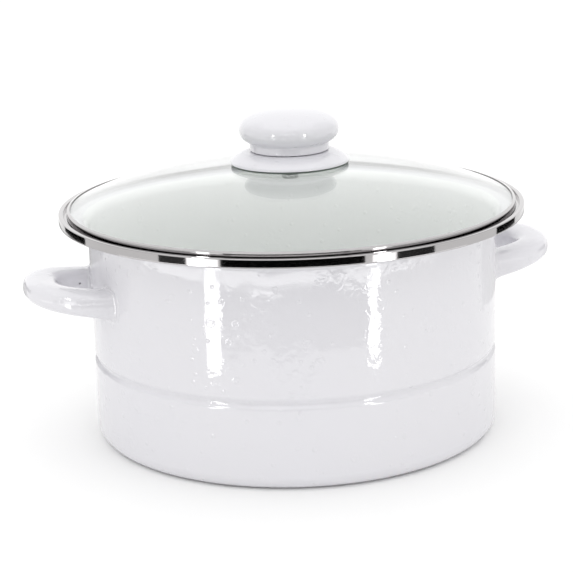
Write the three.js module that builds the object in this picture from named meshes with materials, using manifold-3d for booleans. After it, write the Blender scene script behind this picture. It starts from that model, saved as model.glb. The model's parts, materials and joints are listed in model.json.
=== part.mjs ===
// Enamelled water bath canner: a drawn steel pot with two hollow loop handles, a domed glass lid
// with a screwed-on enamelled knob, and a lift-out wire rack that keeps the jars off the base.
// Millimetres, +Z up. The origin is the centre of the base, on the surface that the pot stands on.
// The handles lie along X, and the whole pot turns about Z.
import * as THREE from "three";
import { mergeVertices } from "three/addons/utils/BufferGeometryUtils.js";
import Module from "manifold-3d";

const wasm = await Module();
wasm.setup();

// ---- Clearances -------------------------------------------------------------------------------
const TOUCH = 0.3; // between two pieces that touch
const SLOPE_ROOM = 0.4; // more than that, under a sloping or domed face
const SEAT_GAP = 1.4; // around the lid, inside the pot's rim band
const BAIL_PLAY = 0.6; // around the hinge bar, inside a bail's eye
const SCREW_PLAY = 0.2; // around the screw, in the pieces it passes through

// ---- Pot --------------------------------------------------------------------------------------
const POT_RADIUS = 120; // outside of the straight wall
const WALL_HEIGHT = 123.9; // base to where the wall starts to flare
const WALL = 1.2; // enamelled sheet
const BASE_CORNER = 8; // outside radius between base and wall
const GROOVE_HEIGHT = 50; // middle of the stiffening groove
const GROOVE_WIDTH = 7;
const GROOVE_DEPTH = 1.7;
const FLARE_RADIUS = 6; // bend from the wall to the ledge, measured on the outside
const LEDGE_REACH = 15.2; // from the wall's outside to the ledge's edge
const LEDGE_SLOPE = THREE.MathUtils.degToRad(10);

// ---- Rim band on the pot ----------------------------------------------------------------------
const BAND_SHEET = 0.5;
const BAND_PROUD = 1.3; // from the ledge's edge to the outside of the band
const BAND_HEIGHT = 5;
const BAND_LIP = 2.6; // how far the band reaches in under the ledge
const BAND_ROUND = 2; // radius of the band's two outer edges

// ---- Handles ----------------------------------------------------------------------------------
const HANDLE_DROP = 30.9; // from where the wall starts to flare to the middle of the tube's root
const HANDLE_RISE = THREE.MathUtils.degToRad(9);
const HANDLE_REACH = 32.5; // from the wall to the tube's centre line at the tip
const HANDLE_HALF_SPAN = 28; // from X to the centre line of an arm
const HANDLE_SQUARENESS = 2.6; // 2 is an ellipse, larger is squarer
const TUBE_WIDTH = 18;
const TUBE_DEPTH = 15; // upright
const TUBE_WALL = 1.3;
const TUBE_ROUNDNESS = 0.8; // 1 is an ellipse, smaller is boxier
const VENT_RADIUS = 0.8; // lets gas out of the hollow handle when the enamel is fired
const VENT_FROM_WALL = 5.5;

// ---- Lid --------------------------------------------------------------------------------------
const GLASS = 3.6; // thickness
const DOME_RISE = 22.6; // from the glass's edge to its middle, on top
const DOME_FLATNESS = 2.4; // 2 is a plain dome, larger is flatter in the middle
const GLASS_HOLE_RADIUS = 5.5;
const LID_BAND_SHEET = 0.4;
const LID_BAND_LIP = 2.9; // how far the band reaches in over the glass

// ---- Knob -------------------------------------------------------------------------------------
const BULB_RADIUS = 29.25;
const BULB_TOP = 11.8; // above its widest line
const BULB_BOTTOM = 7.7; // from its widest line to the top of the neck
const BULB_FULLNESS = 2.3;
const BULB_OPENING_RADIUS = 13;
const KNOB_SHEET = 1.2;
const SAUCER_RADIUS = 34.8;
const SAUCER_RISE = 5.4; // from the top of the saucer's edge to the flat under the bulb
const SAUCER_CROWN = 2; // 1 is a cone, larger is rounder
const NECK_RADIUS = 23.2;
const NECK_HEIGHT = 4.8; // straight part, which belongs to the bulb
const NECK_CHAMFER = 1;
const KNOB_GASKET = 0.8; // thickness
const KNOB_GASKET_WIDTH = 4.4;
const KNOB_GASKET_INSET = 0.4; // from the saucer's edge
const INSERT_RADIUS = 17;
const INSERT_PLATE = 1.6;
const INSERT_BOSS_RADIUS = 5;
const INSERT_BOSS_HEIGHT = 9;

// ---- Screw under the lid ----------------------------------------------------------------------
const SCREW_RADIUS = 2.5;
const SCREW_END = 1.5; // of the screw left standing out of the insert
const SCREW_HEAD_RADIUS = 4.8;
const SCREW_HEAD = 2.2;
const SCREW_HEAD_CHAMFER = 1.2;
const SLOT_WIDTH = 1.3;
const SLOT_DEPTH = 1.4;
const SEAL_RADIUS = 11.5;
const SEAL = 1.6; // thickness of the gasket under the glass
const WASHER_RADIUS = 9.5;
const WASHER = 1;
const LOCK_WASHER_RADIUS = 4.4;
const LOCK_WASHER = 1;
const LOCK_WASHER_SPLIT = 0.8;

// ---- Rack -------------------------------------------------------------------------------------
const RACK_SIDE_GAP = 9.1; // from the rack to the inside of the pot's groove
const RACK_HEIGHT = 13; // centre line of the rings above the pot's inside base
const RING_WIRE = 2; // radius
const INNER_RING_RADIUS = 54;
const CROSS_WIRE = 1.6; // radius
const CROSS_WIRES = 7;
const CROSS_OVERHANG = 3; // of a cross wire past the outer ring's centre line
const HINGE_BAR_INSET = 13; // from the outer ring's centre line to a hinge bar
const HINGE_BAR_SPACE = 18; // from a hinge bar to the nearest cross wire
const FOOT_WIRE = 1.6; // radius
const FOOT_WIDTH = 20; // between the two legs of a foot
const FOOT_BEND = 4;
const FEET = 4;
const BAIL_WIRE = 1.5; // radius
const BAIL_HALF_SPAN = 30;
const BAIL_LENGTH = 66; // from the hinge bar to the grip
const BAIL_BEND = 12;
const EYE_TURN = 290; // degrees of an end's curl around the hinge bar

// ---- Fineness ---------------------------------------------------------------------------------
const POT_STEPS = 48; // flats around the pot and the lid
const KNOB_STEPS = 24;
const SMALL_STEPS = 20;
const WIRE_SIDES = 8;
const EYE_STEPS = 8;

// ---- Materials --------------------------------------------------------------------------------
const enamel = { color: 0xf1f1f4, roughness: 0.12, metalness: 0 };
const steel = { color: 0xc9c9cb, roughness: 0.15, metalness: 1 };
const glass = { color: 0xdfe4e1, roughness: 0.03, metalness: 0, transparent: true, opacity: 0.3 };
const silicone = { color: 0x4d564f, roughness: 0.6, metalness: 0 };
const wire = { color: 0xbfc0c2, roughness: 0.3, metalness: 1 };

// ---- Levels worked out from the sizes ---------------------------------------------------------
const flareCentreRadius = POT_RADIUS + FLARE_RADIUS;
const ledgeEdge = POT_RADIUS + LEDGE_REACH;

// Height of the ledge's underside at a radius outside the bend.
function ledgeUnderside(radius) {
  const bendRadius = flareCentreRadius - FLARE_RADIUS * Math.sin(LEDGE_SLOPE);
  const bendHeight = WALL_HEIGHT + FLARE_RADIUS * Math.cos(LEDGE_SLOPE);
  return bendHeight + (radius - bendRadius) * Math.tan(LEDGE_SLOPE);
}

function ledgeTop(radius) {
  return ledgeUnderside(radius) + WALL / Math.cos(LEDGE_SLOPE);
}

const bandOuter = ledgeEdge + BAND_PROUD;
const bandBottom = ledgeUnderside(ledgeEdge) - TOUCH - SLOPE_ROOM - BAND_SHEET;
const bandInner = bandOuter - BAND_PROUD - BAND_LIP + TOUCH;
const lidRadius = bandInner - SEAT_GAP; // outside of the lid's band
const lidBottom = ledgeTop(lidRadius) + TOUCH;
const glassRadius = lidRadius - LID_BAND_SHEET - TOUCH;
const glassEdgeTop = lidBottom + LID_BAND_SHEET + TOUCH + GLASS;

function glassTop(radius) {
  return glassEdgeTop + DOME_RISE * (1 - (radius / glassRadius) ** DOME_FLATNESS);
}

const gasketInner = SAUCER_RADIUS - KNOB_GASKET_INSET - KNOB_GASKET_WIDTH;
const gasketBottom = glassTop(gasketInner) + TOUCH;
const saucerBottom = gasketBottom + KNOB_GASKET + TOUCH;
const saucerTop = saucerBottom + KNOB_SHEET + SAUCER_RISE;
const bulbBottom = saucerTop + TOUCH;
const bulbMiddle = bulbBottom + NECK_HEIGHT + BULB_BOTTOM;
const insertBottom = bulbBottom + KNOB_SHEET + TOUCH;
const insertTop = insertBottom + INSERT_PLATE + INSERT_BOSS_HEIGHT;
const sealTop = glassTop(0) - GLASS - TOUCH - SLOPE_ROOM;
const washerTop = sealTop - SEAL - TOUCH;
const lockWasherTop = washerTop - WASHER - TOUCH;
const screwHeadTop = lockWasherTop - LOCK_WASHER - TOUCH;
const handleHeight = WALL_HEIGHT - HANDLE_DROP;
const rackReach = POT_RADIUS - WALL - GROOVE_DEPTH - RACK_SIDE_GAP;
const rackRadius = rackReach - RING_WIRE; // of the outer ring's centre line
const hingeBarOffset = rackRadius - HINGE_BAR_INSET;
const crossSpacing = (hingeBarOffset - HINGE_BAR_SPACE) / ((CROSS_WIRES - 1) / 2);
const ringLevel = WALL + RACK_HEIGHT;
const crossLevel = ringLevel + RING_WIRE + CROSS_WIRE + TOUCH;
const eyeRadius = CROSS_WIRE + BAIL_PLAY + BAIL_WIRE;

// ---- Making solids ----------------------------------------------------------------------------

// Closed mesh with shared corners, no slivers, and its faces pointing out.
function closed(source) {
  const plain = source.clone();
  plain.deleteAttribute("normal");
  plain.deleteAttribute("uv");
  const merged = mergeVertices(plain, 1e-4);
  const corners = merged.attributes.position;
  const order = [];
  let volume = 0;
  const a = new THREE.Vector3();
  const b = new THREE.Vector3();
  const c = new THREE.Vector3();
  for (let i = 0; i < merged.index.count; i += 3) {
    const [p, q, r] = [0, 1, 2].map((k) => merged.index.getX(i + k));
    if (p === q || q === r || r === p) continue;
    order.push(p, q, r);
    a.fromBufferAttribute(corners, p);
    b.fromBufferAttribute(corners, q);
    c.fromBufferAttribute(corners, r);
    volume += a.dot(b.cross(c));
  }
  if (volume < 0) order.reverse();
  merged.setIndex(order);
  return merged;
}

function toManifold(source) {
  const mesh = closed(source);
  return new wasm.Manifold(
    new wasm.Mesh({
      numProp: 3,
      vertProperties: new Float32Array(mesh.attributes.position.array),
      triVerts: new Uint32Array(mesh.index.array),
    }),
  );
}

function fromManifold(solid) {
  const mesh = solid.getMesh();
  const geometry = new THREE.BufferGeometry();
  geometry.setAttribute("position", new THREE.BufferAttribute(mesh.vertProperties, 3));
  geometry.setIndex(new THREE.BufferAttribute(mesh.triVerts, 1));
  geometry.computeVertexNormals();
  return geometry;
}

function subtract(body, ...tools) {
  const rest = tools.reduce((left, tool) => left.subtract(toManifold(tool)), toManifold(body));
  return fromManifold(rest);
}

// Profile turned about Z. It starts and ends on the axis, or closes on itself.
function turned(profile, steps) {
  return closed(new THREE.LatheGeometry(profile, steps).rotateX(Math.PI / 2));
}

function point(radius, height) {
  return new THREE.Vector2(radius, height);
}

// Points of an arc in a profile. Angles are in degrees, 0 points away from the axis, 90 up.
function arc(radius, height, size, from, to, steps) {
  return Array.from({ length: steps + 1 }, (_, i) => {
    const angle = THREE.MathUtils.degToRad(from + ((to - from) * i) / steps);
    return point(radius + size * Math.cos(angle), height + size * Math.sin(angle));
  });
}

// Closed outline of a sheet whose one face runs along the points, and whose thickness lies to the
// left of them. On the axis the sheet ends there, elsewhere it ends square.
function sheetProfile(points, thickness) {
  const far = points.map((at, i) => {
    const before = points[Math.max(i - 1, 0)];
    const after = points[Math.min(i + 1, points.length - 1)];
    const into = at.clone().sub(before).normalize();
    const out = after.clone().sub(at).normalize();
    if (i === 0) into.copy(out);
    if (i === points.length - 1) out.copy(into);
    const left = new THREE.Vector2(-into.y - out.y, into.x + out.x).normalize();
    if (at.x === 0) left.set(0, Math.sign(left.y));
    const turn = Math.sqrt((1 + into.dot(out)) / 2);
    return at.clone().addScaledVector(left, thickness / turn);
  });
  const outline = [...points, ...far.reverse()];
  if (points[0].x > 0) outline.push(points[0].clone());
  return outline;
}

function washerProfile(inner, outer, bottom, top) {
  const corners = [point(inner, bottom), point(outer, bottom), point(outer, top), point(inner, top)];
  return [...corners, corners[0].clone()];
}

function mesh(name, geometry, finish) {
  const piece = new THREE.Mesh(geometry, new THREE.MeshStandardMaterial(finish));
  piece.name = name;
  return piece;
}

// ---- Pot --------------------------------------------------------------------------------------

function potBody() {
  const steps = 4;
  const groove = Array.from({ length: steps + 1 }, (_, i) => {
    const across = (2 * i) / steps - 1;
    const depth = (GROOVE_DEPTH * (1 + Math.cos(Math.PI * across))) / 2;
    return point(POT_RADIUS - depth, GROOVE_HEIGHT + (across * GROOVE_WIDTH) / 2);
  });
  const bendEnd = 90 + THREE.MathUtils.radToDeg(LEDGE_SLOPE);
  const outside = [
    point(0, 0),
    ...arc(POT_RADIUS - BASE_CORNER, BASE_CORNER, BASE_CORNER, -90, 0, 4),
    ...groove,
    ...arc(flareCentreRadius, WALL_HEIGHT, FLARE_RADIUS, 180, bendEnd, 3),
    point(ledgeEdge, ledgeUnderside(ledgeEdge)),
  ];
  return mesh("pot_body", turned(sheetProfile(outside, WALL), POT_STEPS), enamel);
}

function potRimBand() {
  const top = bandBottom + BAND_HEIGHT;
  const round = BAND_ROUND;
  const lipHeight = ledgeTop(bandInner) + TOUCH;
  const outside = [
    point(ledgeEdge - BAND_LIP, ledgeUnderside(ledgeEdge - BAND_LIP) - TOUCH - BAND_SHEET),
    ...arc(bandOuter - round, bandBottom + round, round, -70, 0, 2),
    ...arc(bandOuter - round, top - round, round, 0, 90, 2),
    ...arc(bandInner + round / 2, top - round / 2, round / 2, 90, 180, 1),
    point(bandInner, lipHeight),
  ];
  return mesh("pot_rim_band", turned(sheetProfile(outside, BAND_SHEET), POT_STEPS), steel);
}

// Centre line of a handle: a squared half ellipse that starts and ends inside the pot's wall.
class LoopLine extends THREE.Curve {
  getPoint(t, target = new THREE.Vector3()) {
    const angle = Math.PI * (t - 0.5);
    const power = 2 / HANDLE_SQUARENESS;
    const out = Math.cos(angle) ** power;
    const across = Math.sign(angle) * Math.abs(Math.sin(angle)) ** power;
    const root = POT_RADIUS - TUBE_WIDTH / 2;
    const reach = HANDLE_REACH + TUBE_WIDTH / 2;
    return target.set(root + reach * out, HANDLE_HALF_SPAN * across, 0);
  }
}

// Rounded-box outline, wider or narrower by a rim.
function tubeOutline(rim) {
  const sides = 12;
  const depth = TUBE_DEPTH / 2 - rim;
  const width = TUBE_WIDTH / 2 - rim;
  return Array.from({ length: sides }, (_, i) => {
    const angle = (2 * Math.PI * i) / sides;
    const [c, s] = [Math.cos(angle), Math.sin(angle)];
    const up = Math.sign(c) * Math.abs(c) ** TUBE_ROUNDNESS;
    const across = Math.sign(s) * Math.abs(s) ** TUBE_ROUNDNESS;
    return point(depth * up, width * across);
  });
}

function handleGeometry() {
  const section = (rim) => new THREE.Shape(tubeOutline(rim));
  const sweep = { steps: 18, bevelEnabled: false, extrudePath: new LoopLine() };
  const tilt = new THREE.Matrix4()
    .makeTranslation(POT_RADIUS, 0, handleHeight)
    .multiply(new THREE.Matrix4().makeRotationY(-HANDLE_RISE))
    .multiply(new THREE.Matrix4().makeTranslation(-POT_RADIUS, 0, 0));
  const tube = new THREE.ExtrudeGeometry(section(0), sweep).applyMatrix4(tilt);
  const hollow = new THREE.ExtrudeGeometry(section(TUBE_WALL), sweep).applyMatrix4(tilt);
  const wallRadius = POT_RADIUS + TOUCH;
  const wall = new THREE.CylinderGeometry(wallRadius, wallRadius, 4 * TUBE_DEPTH, 2 * POT_STEPS)
    .rotateX(Math.PI / 2)
    .translate(0, 0, handleHeight);
  const ventLength = TUBE_WALL + TUBE_WIDTH / 2;
  const vent = new THREE.CylinderGeometry(VENT_RADIUS, VENT_RADIUS, ventLength, 10)
    .translate(POT_RADIUS + VENT_FROM_WALL, ventLength / 2 - HANDLE_HALF_SPAN, 0)
    .applyMatrix4(tilt);
  return subtract(tube, hollow, wall, vent);
}

function handles() {
  const right = mesh("handle_right", handleGeometry(), enamel);
  const left = mesh("handle_left", handleGeometry(), enamel);
  left.rotation.z = Math.PI;
  return [right, left];
}

// ---- Lid --------------------------------------------------------------------------------------

function lidGlass() {
  const steps = 7;
  const top = Array.from({ length: steps + 1 }, (_, i) => {
    const radius = GLASS_HOLE_RADIUS + ((glassRadius - GLASS_HOLE_RADIUS) * i) / steps;
    return point(radius, glassTop(radius));
  });
  const bottom = top.map((at) => point(at.x, at.y - GLASS)).reverse();
  return mesh("lid_glass", turned([...top, ...bottom, top[0].clone()], POT_STEPS), glass);
}

function lidRimBand() {
  const corner = 0.8;
  const lip = lidRadius - LID_BAND_LIP;
  const overGlass = (radius) => glassTop(Math.min(radius, glassRadius)) + TOUCH + LID_BAND_SHEET;
  const outside = [
    point(lip, lidBottom),
    point(lidRadius - corner, lidBottom),
    point(lidRadius, lidBottom + corner),
    point(lidRadius, overGlass(glassRadius) - corner / 2),
    point(glassRadius, overGlass(glassRadius)),
    point(lip, overGlass(lip)),
  ];
  return mesh("lid_rim_band", turned(sheetProfile(outside, LID_BAND_SHEET), POT_STEPS), steel);
}

// Half width of the bulb at a share of its height, from its middle to its top or bottom.
function bulbRadius(share) {
  return BULB_RADIUS * (1 - share ** BULB_FULLNESS) ** (1 / BULB_FULLNESS);
}

function knobBulb() {
  const below = [0.93, 0.75, 0.4].map((share) => {
    return point(Math.max(bulbRadius(share), NECK_RADIUS), bulbMiddle - BULB_BOTTOM * share);
  });
  const above = [0, 0.35, 0.62, 0.82, 0.94].map((share) => {
    return point(bulbRadius(share), bulbMiddle + BULB_TOP * share);
  });
  const outside = [
    point(0, bulbMiddle + BULB_TOP),
    ...above.reverse(),
    ...below.reverse(),
    point(NECK_RADIUS, bulbBottom + NECK_CHAMFER),
    point(NECK_RADIUS - NECK_CHAMFER, bulbBottom),
    point(BULB_OPENING_RADIUS, bulbBottom),
  ];
  return mesh("knob_bulb", turned(sheetProfile(outside, -KNOB_SHEET), KNOB_STEPS), enamel);
}

function knobBase() {
  const slope = [0.95, 0.82, 0.6, 0.3].map((share) => {
    const radius = NECK_RADIUS + (SAUCER_RADIUS - NECK_RADIUS) * share;
    return point(radius, saucerTop - SAUCER_RISE * share ** SAUCER_CROWN);
  });
  const outside = [
    point(SAUCER_RADIUS, saucerBottom),
    point(SAUCER_RADIUS, saucerBottom + KNOB_SHEET),
    ...slope,
    point(NECK_RADIUS, saucerTop),
    point(SCREW_RADIUS + SCREW_PLAY, saucerTop),
  ];
  return mesh("knob_base", turned(sheetProfile(outside, KNOB_SHEET), KNOB_STEPS), enamel);
}

function knobGasket() {
  const outer = gasketInner + KNOB_GASKET_WIDTH;
  const ring = washerProfile(gasketInner, outer, gasketBottom, gasketBottom + KNOB_GASKET);
  return mesh("knob_gasket", turned(ring, KNOB_STEPS), silicone);
}

// Threaded plate that is held inside the bulb, over its opening.
function knobInsert() {
  const bore = SCREW_RADIUS + SCREW_PLAY;
  const plateTop = insertBottom + INSERT_PLATE;
  const profile = [
    point(bore, insertBottom),
    point(INSERT_RADIUS, insertBottom),
    point(INSERT_RADIUS, plateTop),
    point(INSERT_BOSS_RADIUS, plateTop),
    point(INSERT_BOSS_RADIUS, insertTop),
    point(bore, insertTop),
    point(bore, insertBottom),
  ];
  return mesh("knob_insert", turned(profile, SMALL_STEPS), wire);
}

// Seal under the glass, with a collar that keeps the screw away from the hole's edge.
function glassSeal() {
  const bore = SCREW_RADIUS + SCREW_PLAY;
  const collar = GLASS_HOLE_RADIUS - TOUCH;
  const profile = [
    point(bore, sealTop - SEAL),
    point(SEAL_RADIUS, sealTop - SEAL),
    point(SEAL_RADIUS, sealTop),
    point(collar, sealTop),
    point(collar, glassTop(0)),
    point(bore, glassTop(0)),
    point(bore, sealTop - SEAL),
  ];
  return mesh("glass_seal", turned(profile, SMALL_STEPS), silicone);
}

function knobWasher() {
  const ring = washerProfile(SCREW_RADIUS + SCREW_PLAY, WASHER_RADIUS, washerTop - WASHER, washerTop);
  return mesh("knob_washer", turned(ring, SMALL_STEPS), wire);
}

function knobLockWasher() {
  const bottom = lockWasherTop - LOCK_WASHER;
  const profile = washerProfile(SCREW_RADIUS + SCREW_PLAY, LOCK_WASHER_RADIUS, bottom, lockWasherTop);
  const ring = turned(profile, SMALL_STEPS);
  const split = new THREE.BoxGeometry(2 * LOCK_WASHER_RADIUS, LOCK_WASHER_SPLIT, 2 * LOCK_WASHER)
    .translate(LOCK_WASHER_RADIUS, 0, lockWasherTop - LOCK_WASHER / 2);
  return mesh("knob_lock_washer", subtract(ring, split), wire);
}

function knobScrew() {
  const headBottom = screwHeadTop - SCREW_HEAD;
  const body = turned(
    [
      point(0, headBottom),
      point(SCREW_HEAD_RADIUS - SCREW_HEAD_CHAMFER, headBottom),
      point(SCREW_HEAD_RADIUS, headBottom + SCREW_HEAD_CHAMFER),
      point(SCREW_HEAD_RADIUS, screwHeadTop),
      point(SCREW_RADIUS, screwHeadTop),
      point(SCREW_RADIUS, insertTop + SCREW_END),
      point(0, insertTop + SCREW_END),
    ],
    SMALL_STEPS,
  );
  const slot = new THREE.BoxGeometry(3 * SCREW_HEAD_RADIUS, SLOT_WIDTH, 2 * SLOT_DEPTH);
  slot.translate(0, 0, headBottom);
  return mesh("knob_screw", subtract(body, slot), wire);
}

// ---- Rack -------------------------------------------------------------------------------------

function wireRing(name, radius) {
  const section = Array.from({ length: WIRE_SIDES + 1 }, (_, i) => {
    const angle = (2 * Math.PI * (i % WIRE_SIDES)) / WIRE_SIDES;
    return point(radius + RING_WIRE * Math.cos(angle), ringLevel + RING_WIRE * Math.sin(angle));
  });
  return mesh(name, turned(section, 36), wire);
}

// Straight wire along Y, laid over the rings, long enough to reach past the outer ring.
function crossWire(name, x) {
  const half = Math.sqrt(rackRadius ** 2 - x ** 2) + CROSS_OVERHANG;
  const rod = closed(new THREE.CylinderGeometry(CROSS_WIRE, CROSS_WIRE, 2 * half, WIRE_SIDES));
  const piece = mesh(name, rod, wire);
  piece.position.set(x, 0, crossLevel);
  return piece;
}

// Line through bends, with one step of the wire at each of its points.
class WireLine extends THREE.CatmullRomCurve3 {
  getPointAt(share, target) {
    return this.getPoint(share, target);
  }

  getTangentAt(share, target) {
    return this.getTangent(share, target);
  }
}

// Points of a wire that runs from corner to corner, with each inner corner rounded.
function bent(corners, bend) {
  const steps = 4;
  const line = [corners[0]];
  for (let i = 1; i < corners.length - 1; i += 1) {
    const [before, corner, after] = [corners[i - 1], corners[i], corners[i + 1]];
    const start = before.clone().sub(corner).setLength(bend).add(corner);
    const end = after.clone().sub(corner).setLength(bend).add(corner);
    line.push(...new THREE.QuadraticBezierCurve3(start, corner, end).getPoints(steps));
  }
  line.push(corners.at(-1));
  return line;
}

function bentWire(points, radius) {
  const section = new THREE.Shape();
  section.absarc(0, 0, radius, 0, 2 * Math.PI);
  const sweep = {
    steps: points.length - 1,
    curveSegments: WIRE_SIDES / 2,
    bevelEnabled: false,
    extrudePath: new WireLine(points, false, "centripetal"),
  };
  return closed(new THREE.ExtrudeGeometry(section, sweep));
}

// U-shaped foot under the outer ring, with its flat on the pot's base.
function rackFoot(number) {
  const top = ringLevel - RING_WIRE - TOUCH;
  const bottom = WALL + TOUCH + FOOT_WIRE;
  const half = FOOT_WIDTH / 2;
  const corners = [
    new THREE.Vector3(0, -half, top),
    new THREE.Vector3(0, -half, bottom),
    new THREE.Vector3(0, half, bottom),
    new THREE.Vector3(0, half, top),
  ];
  const foot = mesh(`rack_foot_${number}`, bentWire(bent(corners, FOOT_BEND), FOOT_WIRE), wire);
  const holder = new THREE.Group();
  foot.position.x = Math.sqrt(rackRadius ** 2 - half ** 2);
  holder.rotation.z = (2 * Math.PI * (number - 0.5)) / FEET;
  holder.add(foot);
  return holder;
}

// Lift handle that lies folded towards the middle. Its two ends curl around a hinge bar.
function bail(name, side) {
  const curl = (y) =>
    Array.from({ length: EYE_STEPS }, (_, i) => {
      const angle = THREE.MathUtils.degToRad(90 + EYE_TURN * (i / EYE_STEPS - 1));
      return new THREE.Vector3(eyeRadius * Math.cos(angle), y, eyeRadius * Math.sin(angle));
    });
  const corners = [
    new THREE.Vector3(0, -BAIL_HALF_SPAN, eyeRadius),
    new THREE.Vector3(-BAIL_LENGTH, -BAIL_HALF_SPAN, eyeRadius),
    new THREE.Vector3(-BAIL_LENGTH, BAIL_HALF_SPAN, eyeRadius),
    new THREE.Vector3(0, BAIL_HALF_SPAN, eyeRadius),
  ];
  const line = [...curl(-BAIL_HALF_SPAN), ...bent(corners, BAIL_BEND), ...curl(BAIL_HALF_SPAN).reverse()];
  const piece = mesh(name, bentWire(line, BAIL_WIRE), wire);
  const holder = new THREE.Group();
  piece.position.set(hingeBarOffset, 0, crossLevel);
  holder.rotation.z = side > 0 ? 0 : Math.PI;
  holder.add(piece);
  return holder;
}

function rack() {
  const pieces = [wireRing("rack_outer_ring", rackRadius), wireRing("rack_inner_ring", INNER_RING_RADIUS)];
  for (let i = 0; i < CROSS_WIRES; i += 1) {
    pieces.push(crossWire(`rack_wire_${i + 1}`, (i - (CROSS_WIRES - 1) / 2) * crossSpacing));
  }
  pieces.push(crossWire("rack_hinge_bar_right", hingeBarOffset));
  pieces.push(crossWire("rack_hinge_bar_left", -hingeBarOffset));
  for (let number = 1; number <= FEET; number += 1) pieces.push(rackFoot(number));
  pieces.push(bail("bail_right", 1), bail("bail_left", -1));
  return pieces;
}

const canner = new THREE.Group();
canner.add(potBody(), potRimBand(), ...handles());
canner.add(lidGlass(), lidRimBand(), knobBulb(), knobBase(), knobGasket(), knobInsert());
canner.add(glassSeal(), knobWasher(), knobLockWasher(), knobScrew());
canner.add(...rack());

export default canner;
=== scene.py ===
"""Looks of an enamelled water bath canner, modelled around its CAD frame.

Each operator makes one piece, or a group of like pieces, in metres and in the frame's own axes:
the handles lie along X, the front is -Y, and the base stands on Z = 0.
"""

import json
import math

import bmesh
import bpy
from bpy.props import FloatProperty, FloatVectorProperty, IntProperty, PointerProperty
from mathutils import Matrix, Vector
from mathutils.bvhtree import BVHTree


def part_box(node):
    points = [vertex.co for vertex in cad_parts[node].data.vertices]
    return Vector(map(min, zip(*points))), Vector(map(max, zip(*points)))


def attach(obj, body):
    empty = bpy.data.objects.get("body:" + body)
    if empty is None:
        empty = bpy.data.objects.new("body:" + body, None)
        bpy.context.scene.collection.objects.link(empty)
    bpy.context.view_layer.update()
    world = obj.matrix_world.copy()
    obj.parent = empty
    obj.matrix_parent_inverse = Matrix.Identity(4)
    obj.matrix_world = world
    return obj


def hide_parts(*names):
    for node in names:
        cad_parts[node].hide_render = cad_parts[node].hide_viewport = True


bl_info = {
    "name": "Water bath canner",
    "version": (1, 0, 0),
    "blender": (4, 5, 0),
    "location": "View3D > Sidebar > Canner",
    "description": "Builds an enamelled canning pot, its glass lid and its wire rack",
    "category": "Object",
}

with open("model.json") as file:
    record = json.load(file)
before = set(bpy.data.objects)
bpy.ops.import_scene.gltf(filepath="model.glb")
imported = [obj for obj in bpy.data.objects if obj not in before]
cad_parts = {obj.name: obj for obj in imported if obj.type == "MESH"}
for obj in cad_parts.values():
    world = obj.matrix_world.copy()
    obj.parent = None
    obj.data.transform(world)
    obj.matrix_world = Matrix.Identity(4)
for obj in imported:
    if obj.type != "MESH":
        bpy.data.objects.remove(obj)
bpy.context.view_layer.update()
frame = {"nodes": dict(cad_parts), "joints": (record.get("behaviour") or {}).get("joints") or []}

MM = 0.001
FULL_TURN = 2 * math.pi
X_AXIS = Vector((1, 0, 0))
Y_AXIS = Vector((0, 1, 0))
Z_AXIS = Vector((0, 0, 1))
MERGE = 1e-6
PAINTED_LIGHT_INSIDE = "inside_coat"  # face attribute: 1 on faces that look into the pot, where the white enamel is painted brighter as painted light

# Relief of the enamel. Scales count features in a metre. A higher tightness makes smaller drops
# and thinner rings.
KEPT_CELLS = 0.55  # cells with a chance above this have a drop or a ring
PATCH_SCALE, PATCH_CONTRAST, PATCH_START = 42.0, 6.0, 2.7
SWIRL_SCALE, SWIRL_DISTORTION = 150.0, 1.6
DROP_SCALE, DROP_TIGHTNESS = 165.0, 4.4
RING_SCALE, RING_TIGHTNESS, RING_WOBBLE, RING_RADIUS = 80.0, 16.0, 0.16, 0.24
RIPPLE_SCALE, RIPPLE_DISTORTION = 30.0, 0.4
RELIEF = 0.34 * MM
DROP_SHARE, RING_SHARE, SWIRL_SHARE, RIPPLE_SHARE = 0.58, 0.24, 0.4, 0.5  # of the relief

# Tube of a handle: how boxy its section is, 1 being an ellipse and 0 a box, how fast its depth goes
# from root to tip, and the rings at its roots as shares of the fillet.
ROOT_BOXINESS, TIP_BOXINESS, DEPTH_POWER = 0.56, 0.72, 0.7
ROOT_SHARES = (0, 0.06, 0.16, 0.32, 0.55, 0.8)

# Faces around turned pieces, and the play between a bore and what goes through it.
KNOB_STEPS, FIXING_STEPS, SCREW_STEPS, RING_STEPS = 128, 64, 48, 144
BORE_PLAY = 0.2 * MM


# ---- Measuring the frame ----------------------------------------------------------------------


def high(node):
    """Highest corner of a CAD node's box."""
    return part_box(node)[1]


def outside_radius(node, height):
    """Distance from the Z axis to the outside of a CAD node at a height, on the +X side."""
    mesh = frame["nodes"][node].data
    tree = BVHTree.FromPolygons([v.co for v in mesh.vertices], [p.vertices for p in mesh.polygons])
    hit = tree.ray_cast(Vector((1, 1e-5, height)), -X_AXIS)[0]
    return hit.x


def hinge_place(joint):
    """A point on a joint's axis."""
    row = next(j for j in frame["joints"] if j["name"] == joint)
    return Vector(row["pos_m"])


# ---- Sizes and colours that a user may change -------------------------------------------------


def length(name, description, default):
    """A length in metres, shown in the scene's units."""
    return FloatProperty(
        name=name,
        description=description,
        default=default,
        min=0,
        precision=5,
        subtype="DISTANCE",
        unit="LENGTH",
    )


def factor(name, description, default, highest=1.0):
    """A plain number without a unit."""
    return FloatProperty(name=name, description=description, default=default, min=0, max=highest)


def turn_angle(name, description, degrees):
    """An angle, written in degrees."""
    return FloatProperty(
        name=name,
        description=description,
        default=math.radians(degrees),
        subtype="ANGLE",
        unit="ROTATION",
    )


def colour(name, description, default):
    """A linear RGB colour."""
    return FloatVectorProperty(
        name=name, description=description, default=default, size=3, min=0, max=1, subtype="COLOR"
    )


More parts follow.
